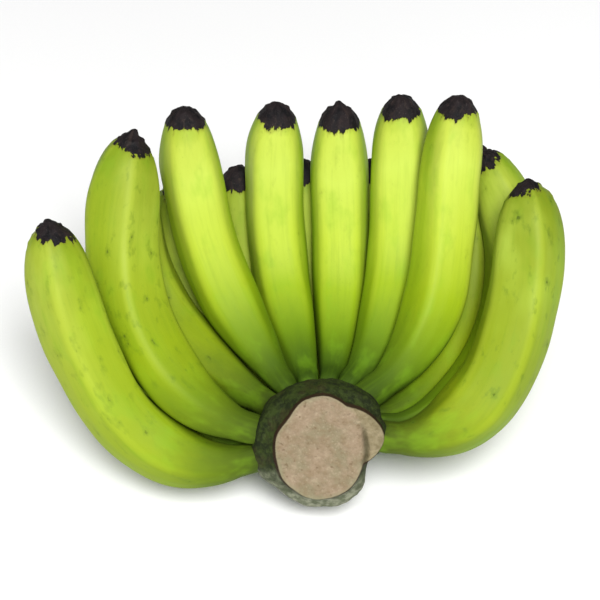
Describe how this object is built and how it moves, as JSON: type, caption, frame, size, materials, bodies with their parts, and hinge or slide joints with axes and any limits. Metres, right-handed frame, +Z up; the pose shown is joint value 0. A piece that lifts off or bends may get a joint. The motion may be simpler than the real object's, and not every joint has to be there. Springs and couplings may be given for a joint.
{
  "type": "hand of green bananas",
  "caption": "Hand of curved green bananas that fan out in two rows from a cut crown, each with a dried black blossom end; lies on the backs of its fingers.",
  "frame": {"origin": "centre of the bounding box's bottom face, on the surface that the hand lies on", "axes": "+Z up, +X across the fan of fingers (the longest side), -Y towards the cut face of the crown"},
  "size_m": [0.309, 0.2222, 0.1776],
  "materials": {
    "green_peel": "waxy satin peel, lime to dark green, with a black dried tip",
    "crown_flesh": "dry fibrous cut face with a dark green rim"
  },
  "bodies": {
    "root": {"crown": "crown_flesh", "banana_01": "green_peel", "banana_02": "green_peel", "banana_03": "green_peel", "banana_04": "green_peel", "banana_05": "green_peel", "banana_06": "green_peel", "banana_07": "green_peel", "banana_08": "green_peel", "banana_09": "green_peel", "banana_10": "green_peel", "banana_11": "green_peel", "banana_12": "green_peel", "banana_13": "green_peel", "banana_14": "green_peel", "banana_15": "green_peel", "banana_16": "green_peel", "banana_17": "green_peel"}
  },
  "joints": []
}
